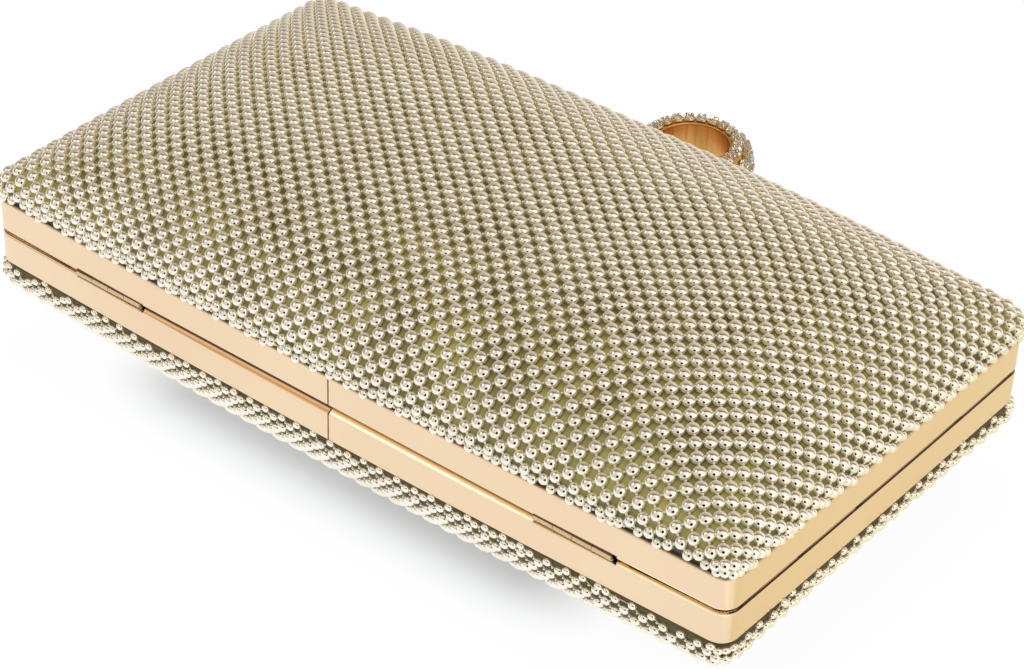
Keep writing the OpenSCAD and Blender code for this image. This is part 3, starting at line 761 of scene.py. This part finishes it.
def rimShare(x, y, inset):
    # how far a point is from the middle towards the rim, 0 to 1: first the bowed sides, then the corners
    halfX = case["length"] / 2 - inset
    radius = max(case["cornerRadius"] - inset, case["leastRadius"])
    ax, ay = np.abs(x) + 1e-9, np.abs(y) + 1e-9
    reach = 1 / np.maximum(ax / halfX, ay / (case["width"] / 2 - inset))
    for _ in range(3):
        reach = 1 / np.maximum(ax / halfX, ay / (sideY(reach * ax) - inset))
    cornerX, cornerY = halfX - radius, sideY(case["length"] / 2 - case["cornerRadius"]) - inset - radius
    inCorner = (reach * ax > cornerX) & (reach * ay > cornerY)
    a, b = ax ** 2 + ay ** 2, ax * cornerX + ay * cornerY
    arc = (b + np.sqrt(np.maximum(b ** 2 - a * (cornerX ** 2 + cornerY ** 2 - radius ** 2), 0))) / a
    return 1 / np.where(inCorner, np.minimum(reach, arc), reach)


def pillowHeight(x, y, inset, drop):
    # the height over the band's edge of a pillow that is smaller by inset and lower by drop
    rho = np.clip(rimShare(x, y, inset), 0, 1)
    wideX = x * case["length"] / (case["length"] - 2 * inset)
    wideY = y * case["width"] / (case["width"] - 2 * inset)
    s = np.minimum(np.abs(2 * wideX / case["length"]), 1)
    t = np.minimum(np.abs(wideY / sideY(wideX)), 1)
    lip = case["lipHeight"] * (1 - rho ** case["lipPower"]) ** case["lipSoftness"]
    crown = case["crownHeight"] * (1 - s ** case["crownPowerX"]) * (1 - t ** case["crownPowerY"])
    return (domeHeight - drop) / domeHeight * (lip + crown) * (rho < 1)


def swell(x, y, z):
    # the mesh starts inside the frame's edge and bulges out over it, most at the short sides and corners
    s, t = x / (case["length"] / 2), y / sideY(x)
    share = np.clip(z / beadMesh["bulgeHeight"], 0, 1)
    share = share * (2 - share)
    lift = beadMesh["cornerLift"] * np.minimum(np.abs(s * t), 1) ** 3
    return x + s * share * beadMesh["bulgeX"], y + t * share * beadMesh["bulgeY"], z + share * lift


def halfPlace(points, lid):
    # from a half's own frame, where heights grow away from the band's edge, to the row's frame
    placed = np.array(points, dtype=float)
    edge = partZ + case["bandHeight"] if lid else partZ - case["bandHeight"]
    placed[:, 2] = edge + placed[:, 2] if lid else edge - placed[:, 2]
    return placed * mm


# how a grid is laid: the crowding of its lines at the rim, how near the rim is taken as inside it,
# and the depth in mm over which the relief dies out at the rim
gridFit = {"crowding": 1.7, "inside": 0.99999, "rim": 0.9999, "reliefFade": 4.0}


def layGrid(name, inset, drop, cuts, lid, relief=None, reliefDown=0.0, swelled=False):
    # a flat grid laid over the pillow, its rim following the rounded outline
    bpy.ops.mesh.primitive_grid_add(x_subdivisions=cuts[0], y_subdivisions=cuts[1], size=2)
    sheet = bpy.context.object
    sheet.name = name
    flat = np.empty(len(sheet.data.vertices) * 3)
    sheet.data.vertices.foreach_get("co", flat)
    flat = flat.reshape(-1, 3)
    s, t = flat[:, 0], flat[:, 1]
    share = np.maximum(np.abs(s), np.abs(t))
    spread = np.where(share > 0, (1 - (1 - share) ** gridFit["crowding"]) / np.maximum(share, 1e-9), 1)
    s, t = s * spread, t * spread
    share = np.maximum(np.abs(s), np.abs(t))
    halfX = case["length"] / 2 - inset
    x = s * halfX
    y = t * (sideY(x) - inset)
    shrink = np.minimum(share / np.maximum(rimShare(x, y, inset), 1e-9), 1)
    x, y = x * shrink, y * shrink
    z = pillowHeight(x * gridFit["inside"], y * gridFit["inside"], inset, drop)
    z[share > gridFit["rim"]] = 0
    if relief:
        z = z - reliefDown * relief(x, y) * np.clip(z / gridFit["reliefFade"], 0, 1)
    if swelled:
        x, y, z = swell(x, y, z)
    sheet.data.vertices.foreach_set("co", halfPlace(np.stack([x, y, z], 1), lid).ravel())
    sheet.data.update()
    pick(sheet)
    if not lid:
        editAll()
        bpy.ops.mesh.flip_normals()
        leaveEdit()
    bpy.ops.object.shade_smooth()
    return sheet


# bead mesh: backing cloth, beads on a square lattice turned half a right angle, and their threads
print("bead mesh")
# in mm, apart from clothCut in metres, angles in degrees, and the scales, shares and counts
beadMesh = {
    "beadDiameter": 3.0,
    "flatness": 0.72,
    "pitch": 3.236,
    "latticeTurn": 45.0,
    "latticeTwist": 3.5,
    "latticeStartX": 0.4,
    "latticeStartY": 0.7,
    "centreHeight": 1.43,
    "rimInset": 0.45,
    "bulgeX": 1.3,
    "bulgeY": 0.6,
    "bulgeHeight": 3.6,
    "cornerLift": 1.6,
    "lowestRow": 0.6,
    "gatherDepth": 3.0,
    "gatherReach": 5.0,
    "edgeReach": 0.55,
    "sureReach": 0.15,
    "closest": 0.62,
    "edgeScale": 0.76,
    "baseScale": 0.92,
    "jitter": 0.05,
    "edgeJitter": 0.24,
    "edgeZone": 6.0,
    "beadCuts": (10, 6),
    "threadRadius": 0.11,
    "knotDiameter": 0.66,
    "knotCuts": (6, 4),
    "knotLift": 0.25,
    "backingInset": 0.9,
    "backingCuts": (150, 90),
    "clothCut": (0.126, 0.212),
    "backingThickness": 0.25,
    "tableSteps": 240,
    "tableCrowding": 2.2,
    "settleRounds": 8,
    "slopeStep": 0.05,
    "slopeInset": -0.55,
    "beadsPerPiece": 1900,
}


def surfacePoint(s, t):
    # the place of a bead's middle, by its shares of the way from the middle to the rim
    x = s * (case["length"] / 2 - beadMesh["rimInset"])
    y = t * (sideY(x) - beadMesh["rimInset"])
    return swell(x, y, pillowHeight(x, y, beadMesh["rimInset"], -beadMesh["centreHeight"]))


def arcTables():
    # distances along the bead surface over one quarter, across and along
    steps = 1 - (1 - np.linspace(0, 1, beadMesh["tableSteps"])) ** beadMesh["tableCrowding"]
    s, t = np.meshgrid(steps, steps, indexing="ij")
    surface = np.stack(surfacePoint(s, t), -1)
    along = np.zeros_like(s)
    along[1:] = np.cumsum(np.linalg.norm(np.diff(surface, axis=0), axis=-1), axis=0)
    across = np.zeros_like(s)
    across[:, 1:] = np.cumsum(np.linalg.norm(np.diff(surface, axis=1), axis=-1), axis=1)
    return steps, surface, along, across


def latticePlaces():
    # bead centres in a half's frame, keyed by their row and column in the lattice
    steps, surface, along, across = arcTables()
    count = len(steps) - 1
    high = surface[..., 2] > beadMesh["lowestRow"]
    edgeS = steps[np.maximum(high.sum(axis=0) - 1, 0)]
    edgeT = steps[np.maximum(high.sum(axis=1) - 1, 0)]

    def rowAt(table, share):
        # one table row at a share between two steps
        place = np.interp(share, steps, np.arange(count + 1))
        low = min(int(place), count - 1)
        return table[low] + (table[low + 1] - table[low]) * (place - low)

    def gathered(distance, edge):
        # towards the edge the rows are bunched together
        depth = beadMesh["gatherDepth"]
        left = edge + depth - abs(distance)
        return edge - left + depth * (1 - math.exp(-max(left, 0) / beadMesh["gatherReach"]))

    turn = math.radians(beadMesh["latticeTurn"])
    pitch = beadMesh["pitch"]
    rows = int((case["length"] + case["width"]) / 2 / pitch)
    longestA, longestB = along[-1].max(), across[:, -1].max()
    margin = pitch + beadMesh["gatherDepth"]
    inside, atEdge = {}, {}
    for i in range(-rows, rows + 1):
        for j in range(-rows, rows + 1):
            a = pitch * (i * math.cos(turn) - j * math.sin(turn)) + beadMesh["latticeStartX"]
            b = pitch * (i * math.sin(turn) + j * math.cos(turn)) + beadMesh["latticeStartY"]
            if abs(a) > longestA + margin or abs(b) > longestB + margin:
                continue
            # on the crown the mesh has slipped round a little
            reach = min(max(abs(a) / longestA, abs(b) / longestB), 1)
            slip = math.radians(beadMesh["latticeTwist"]) * (1 - reach ** 2)
            a, b = a * math.cos(slip) - b * math.sin(slip), a * math.sin(slip) + b * math.cos(slip)
            s = t = 0.5
            for _ in range(beadMesh["settleRounds"]):
                rowS, rowT = rowAt(along.T, t), rowAt(across, s)
                lastS, lastT = np.interp(t, steps, edgeS), np.interp(s, steps, edgeT)
                placeA = gathered(a, np.interp(lastS, steps, rowS))
                placeB = gathered(b, np.interp(lastT, steps, rowT))
                s = min(float(np.interp(placeA, rowS, steps)), float(lastS))
                t = min(float(np.interp(placeB, rowT, steps)), float(np.interp(s, steps, edgeT)))
            overA = placeA - float(np.interp(s, steps, rowAt(along.T, t)))
            overB = placeB - float(np.interp(t, steps, rowAt(across, s)))
            over = max(overA, overB)
            if over > beadMesh["edgeReach"] * pitch:
                continue
            x, y, z = (float(v) for v in surfacePoint(np.float64(s), np.float64(t)))
            kept = inside if over < beadMesh["sureReach"] * pitch else atEdge
            kept[(i, j)] = (math.copysign(x, a), math.copysign(y, b), max(z, beadMesh["lowestRow"]))
    taken = np.array(list(inside.values()))
    for key, place in atEdge.items():
        gap = np.linalg.norm(taken - np.array(place), axis=1).min()
        if gap > beadMesh["closest"] * beadMesh["beadDiameter"]:
            inside[key] = place
            taken = np.vstack([taken, place])
    return inside


def outwardNormals(points):
    # which way the pillow faces under each bead
    step = beadMesh["slopeStep"]
    x, y = points[:, 0], points[:, 1]

    def heightAt(x, y):
        inX = x / (1 + 2 * beadMesh["bulgeX"] / case["length"])
        inY = y / (1 + 2 * beadMesh["bulgeY"] / case["width"])
        return pillowHeight(inX, inY, beadMesh["slopeInset"], -beadMesh["centreHeight"])

    slopeX = (heightAt(x + step, y) - heightAt(x - step, y)) / (2 * step)
    slopeY = (heightAt(x, y + step) - heightAt(x, y - step)) / (2 * step)
    normal = np.stack([-slopeX, -slopeY, np.ones_like(x)], 1)
    return normal / np.linalg.norm(normal, axis=1, keepdims=True)


def beadPiece(name, centres, normals, scales, bodyName, diameter, cuts, material):
    # one modelled bead, copied to every centre with its flatter way along the pillow's normal
    bpy.ops.mesh.primitive_uv_sphere_add(segments=cuts[0], ring_count=cuts[1], radius=diameter / 2 * mm)
    bead = bpy.context.object
    bead.scale = (1, 1, beadMesh["flatness"])
    bakePlace(bead)
    bpy.ops.object.shade_smooth()
    field = bpy.data.meshes.new(name)
    field.from_pydata([tuple(c) for c in centres], [], [])
    field.attributes.new("facing", "FLOAT_VECTOR", "POINT").data.foreach_set("vector", normals.ravel())
    field.attributes.new("beadScale", "FLOAT", "POINT").data.foreach_set("value", scales)
    piece = addObject(name, field)
    tree = bpy.data.node_groups.new(name + "Copies", "GeometryNodeTree")
    for way in ("INPUT", "OUTPUT"):
        tree.interface.new_socket("Geometry", in_out=way, socket_type="NodeSocketGeometry")

    def stored(name, kind):
        attribute = addNode(tree, "GeometryNodeInputNamedAttribute", {"Name": name}, data_type=kind)
        return attribute.outputs["Attribute"]

    source = addNode(tree, "GeometryNodeObjectInfo", {"Object": bead})
    facing = stored("facing", "FLOAT_VECTOR")
    turn = addNode(tree, "FunctionNodeAlignEulerToVector", {"Vector": facing}, axis="Z")
    copies = addNode(tree, "GeometryNodeInstanceOnPoints", {
        "Points": addNode(tree, "NodeGroupInput").outputs[0], "Instance": source.outputs["Geometry"],
        "Rotation": turn.outputs[0], "Scale": stored("beadScale", "FLOAT")})
    real = addNode(tree, "GeometryNodeRealizeInstances", {0: copies.outputs[0]})
    addNode(tree, "NodeGroupOutput", {0: real.outputs[0]})
    piece.modifiers.new("copies", "NODES").node_group = tree
    applyModifiers(piece)
    bpy.data.objects.remove(bead)
    setMaterial(piece, material)
    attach(piece, bodyName)
    return piece


def neighbours(keys):
    # pairs of beads side by side in the lattice, along its one way and along its other
    index = {key: k for k, key in enumerate(keys)}
    return [[(index[i, j], index[i + a, j + b]) for i, j in keys if (i + a, j + b) in index]
            for a, b in ((1, 0), (0, 1))]


def threadPiece(name, centres, ways, bodyName):
    # the cords that the beads are laced on, running both ways through the lattice
    made = []
    for way, edges in enumerate(ways):
        mesh = bpy.data.meshes.new(name + str(way))
        mesh.from_pydata([tuple(c) for c in centres], edges, [])
        curve = addObject(name + str(way), mesh)
        pick(curve)
        bpy.ops.object.convert(target="CURVE")
        curve.data.bevel_depth = beadMesh["threadRadius"] * mm
        curve.data.bevel_resolution = 0
        bpy.ops.object.convert(target="MESH")
        made.append(bpy.context.object)
    piece = joinAll(made)
    piece.name = name
    bpy.ops.object.shade_smooth()
    setMaterial(piece, threadMetal)
    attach(piece, bodyName)


def settleBeads(places, lid):
    # each bead a little out of place and smaller towards the edge
    moved, scales = {}, []
    for key in sorted(places):
        x, y, z = places[key]
        nearEdge = max(0, 1 - (z - beadMesh["lowestRow"]) / beadMesh["edgeZone"])
        shift = random.normal(0, (beadMesh["jitter"] + beadMesh["edgeJitter"] * nearEdge) / 2, 3)
        height = max(z + abs(shift[2]) * 2 * nearEdge, beadMesh["lowestRow"])
        if not lid:
            # the bag lies on these, so they stay above the table
            height = min(height, partZ - case["bandHeight"] - beadMesh["beadDiameter"] / 2)
        moved[key] = (x + shift[0], y + shift[1], height)
        scales.append((1 - (1 - beadMesh["edgeScale"]) * nearEdge) * (1 if lid else beadMesh["baseScale"]))
    return moved, np.array(scales)


def coverHalf(half, places):
    # backing cloth, beads, threads and knots of one half
    lid = half == "lid"
    backing = layGrid(half + "_backing_cloth", beadMesh["backingInset"], 0.0, beadMesh["backingCuts"], lid,
                      swelled=True)
    thicken(backing, beadMesh["backingThickness"], 1)
    setMaterial(backing, backingCloth if lid else backingShadedBelow)
    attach(backing, half)
    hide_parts(half + "_bead_mesh")
    moved, scales = settleBeads(places, lid)
    centres = np.array(list(moved.values()))
    facing = outwardNormals(centres) * ((1, 1, 1) if lid else (1, 1, -1))
    placed = halfPlace(centres, lid)
    order = np.argsort(placed[:, 0])
    pieceCount = math.ceil(len(placed) / beadMesh["beadsPerPiece"])
    for k, part in enumerate(np.array_split(order, pieceCount)):
        beadPiece(f"{half}_beads_{k + 1}", placed[part], facing[part], scales[part], half,
                  beadMesh["beadDiameter"], beadMesh["beadCuts"], beadMetal)
    ways = neighbours(list(moved))
    threadPiece(half + "_bead_threads", placed, ways, half)
    first, second = np.array(ways[0] + ways[1]).T
    knotFacing = facing[first] + facing[second]
    knotFacing = knotFacing / np.linalg.norm(knotFacing, axis=1, keepdims=True)
    knots = (placed[first] + placed[second]) / 2 + knotFacing * beadMesh["knotLift"] * mm
    beadPiece(half + "_bead_knots", knots, knotFacing, np.ones(len(knots)), half,
              beadMesh["knotDiameter"], beadMesh["knotCuts"], threadMetal)
    print(half, len(placed), "beads")


beadPlaces = latticePlaces()
coverHalf("lid", beadPlaces)
coverHalf("base", beadPlaces)


# satin lining in both trays
print("lining")
lining = {"inset": 3.05, "drop": 1.3, "thickness": 1.0, "ripple": 0.12, "cuts": (110, 66), "fill": 0.7}


def liningRipple(x, y):
    # soft waves a few mm long, between -1 and 1
    return np.sin(x / 7.0 + 0.6 * np.sin(y / 9.0)) * np.sin(y / 8.0 + 0.5 * np.sin(x / 11.0))


def lineHalf(half):
    lid = half == "lid"
    cloth = layGrid(half + "_lining_cloth", lining["inset"], lining["drop"], lining["cuts"], lid,
                    liningRipple, lining["ripple"])
    thicken(cloth, lining["thickness"], -1)
    setMaterial(cloth, liningSatin)
    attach(cloth, half)
    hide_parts(half + "_lining")


lineHalf("base")
lineHalf("lid")


# cut stones in pale gold cups with claws, round the ring
print("ring stones")
stones = {
    "ringRadius": 12.8,
    "ringHeight": 11.0,
    "radius": 1.4,
    "height": 1.7,
    "girdleShare": 0.3,
    "tableShare": 0.65,
    "lift": 0.18,
    "foilHeight": 0.16,
    "gap": 0.02,
    "sideTilt": 20.0,
    "bareHalfWidth": 5.65,
    "cupHeight": 0.42,
    "cupWall": 0.1,
    "cupDepthShare": 0.7,
    "prongRadius": 0.2,
    "prongStretch": 1.5,
    "prongReachShare": 1.02,
    "prongHeightShare": 0.52,
    "topRowShift": 0.6,
    "topRowRise": 0.24,
}


def modelStone():
    # a brilliant: girdle, crown facets turned against the table, flat back
    top = stones["height"] * mm
    bpy.ops.mesh.primitive_cylinder_add(vertices=8, radius=stones["radius"] * mm, depth=top,
                                        location=(0, 0, top / 2))
    stone = bpy.context.object
    bakePlace(stone)
    editAll()
    bpy.ops.mesh.bisect(plane_co=(0, 0, top * stones["girdleShare"]), plane_no=(0, 0, 1))
    leaveEdit()
    for v in stone.data.vertices:
        v.select = v.co.z > top * 0.99
    for part in list(stone.data.edges) + list(stone.data.polygons):
        part.select = all(stone.data.vertices[k].select for k in part.vertices)
    bpy.ops.object.mode_set(mode="EDIT")
    bpy.ops.transform.resize(value=(stones["tableShare"], stones["tableShare"], 1))
    bpy.ops.transform.rotate(value=math.tau / 16, orient_axis="Z", center_override=(0, 0, top))
    bpy.ops.mesh.select_all(action="SELECT")
    bpy.ops.mesh.quads_convert_to_tris()
    bpy.ops.mesh.normals_make_consistent(inside=False)
    leaveEdit()
    bpy.ops.object.shade_flat()
    return stone


def modelCup():
    # cup that holds one stone
    height, wall = stones["cupHeight"] * mm, stones["cupWall"] * mm
    bpy.ops.mesh.primitive_cylinder_add(vertices=16, radius=stones["radius"] * mm + wall, depth=height,
                                        location=(0, 0, height / 2))
    cup = bpy.context.object
    bakePlace(cup)
    bpy.ops.object.mode_set(mode="EDIT")
    bpy.ops.mesh.select_all(action="DESELECT")
    bpy.ops.object.mode_set(mode="OBJECT")
    for face in cup.data.polygons:
        face.select = face.normal.z > 0.9
    bpy.ops.object.mode_set(mode="EDIT")
    bpy.ops.mesh.inset(thickness=wall)
    bpy.ops.mesh.extrude_region_move(
        TRANSFORM_OT_translate={"value": (0, 0, -height * stones["cupDepthShare"])})
    leaveEdit()
    return cup


def modelFoil():
    # silvered back of one stone
    bpy.ops.mesh.primitive_circle_add(vertices=8, radius=stones["radius"] * mm, fill_type="TRIFAN",
                                      location=(0, 0, stones["foilHeight"] * mm))
    bakePlace(bpy.context.object)
    return bpy.context.object


def modelProngs():
    # four small claws round one stone
    made = []
    reach = stones["radius"] * stones["prongReachShare"] * mm
    height = stones["height"] * stones["prongHeightShare"] * mm
    for angle in (math.radians(45 + 90 * k) for k in range(4)):
        bpy.ops.mesh.primitive_uv_sphere_add(
            segments=8, ring_count=6, radius=stones["prongRadius"] * mm,
            location=(reach * math.cos(angle), reach * math.sin(angle), height))
        claw = bpy.context.object
        claw.scale = (1, 1, stones["prongStretch"])
        bakePlace(claw)
        made.append(claw)
    claws = joinAll(made)
    bpy.ops.object.shade_smooth()
    return claws


def seatRow(radius, height, tilt, first):
    # one row of seats on a band of the ring, left out where the stem meets it
    count = int(math.tau * radius / (2 * stones["radius"] + stones["gap"]))
    seats = []
    for k in range(count):
        angle = math.tau * (k + first) / count
        if radius * abs(math.cos(angle)) <= stones["bareHalfWidth"] and math.sin(angle) <= 0:
            continue
        around = Matrix.Translation(ringCentre) @ Matrix.Rotation(angle, 4, "Z")
        outwards = Matrix.Translation((radius * mm, 0, height * mm))
        seats.append(around @ outwards @ Matrix.Rotation(math.pi / 2 - tilt, 4, "Y"))
    return seats


def seatMatrices():
    # places of the stones: five bands round the bulging outside of the ring
    width = 2 * stones["radius"] + stones["gap"]
    radius, halfHeight = stones["ringRadius"], stones["ringHeight"] / 2
    tilt = math.radians(stones["sideTilt"])
    sideRadius = radius - width * math.sin(tilt)
    sideTop = width / 2 + width * math.cos(tilt)
    topTilt = math.acos((halfHeight - sideTop) / width)
    topRadius = sideRadius - width * math.sin(topTilt)
    sideHeight = (width / 2 + sideTop) / 2
    topHeight = (sideTop + halfHeight) / 2 + stones["topRowRise"]
    seats = seatRow(radius, 0, 0, 0.5)
    for side in (-1, 1):
        seats += seatRow((radius + sideRadius) / 2, side * sideHeight, side * tilt, 0)
        seats += seatRow((sideRadius + topRadius) / 2 - stones["topRowShift"],
                         side * topHeight, side * topTilt, 0)
    return seats


def copyToSeats(model, name, seats, material, lift=0.0):
    # one model copied to every seat, as one piece
    made = []
    for k, seat in enumerate(seats):
        copy = addObject(f"{name}_{k}", model.data.copy())
        copy.data.transform(seat @ Matrix.Translation((0, 0, lift * mm)))
        made.append(copy)
    piece = joinAll(made)
    piece.name = name
    setMaterial(piece, material)
    bpy.data.objects.remove(model)
    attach(piece, "clasp")
    return piece


seats = seatMatrices()
stonePiece = copyToSeats(modelStone(), "ring_crystals", seats, crystal, stones["lift"])
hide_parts("ring_stones")
copyToSeats(modelFoil(), "ring_stone_foils", seats, foil)
copyToSeats(modelCup(), "ring_stone_cups", seats, cupSilver)
copyToSeats(modelProngs(), "ring_stone_claws", seats, cupSilver)

print("done")
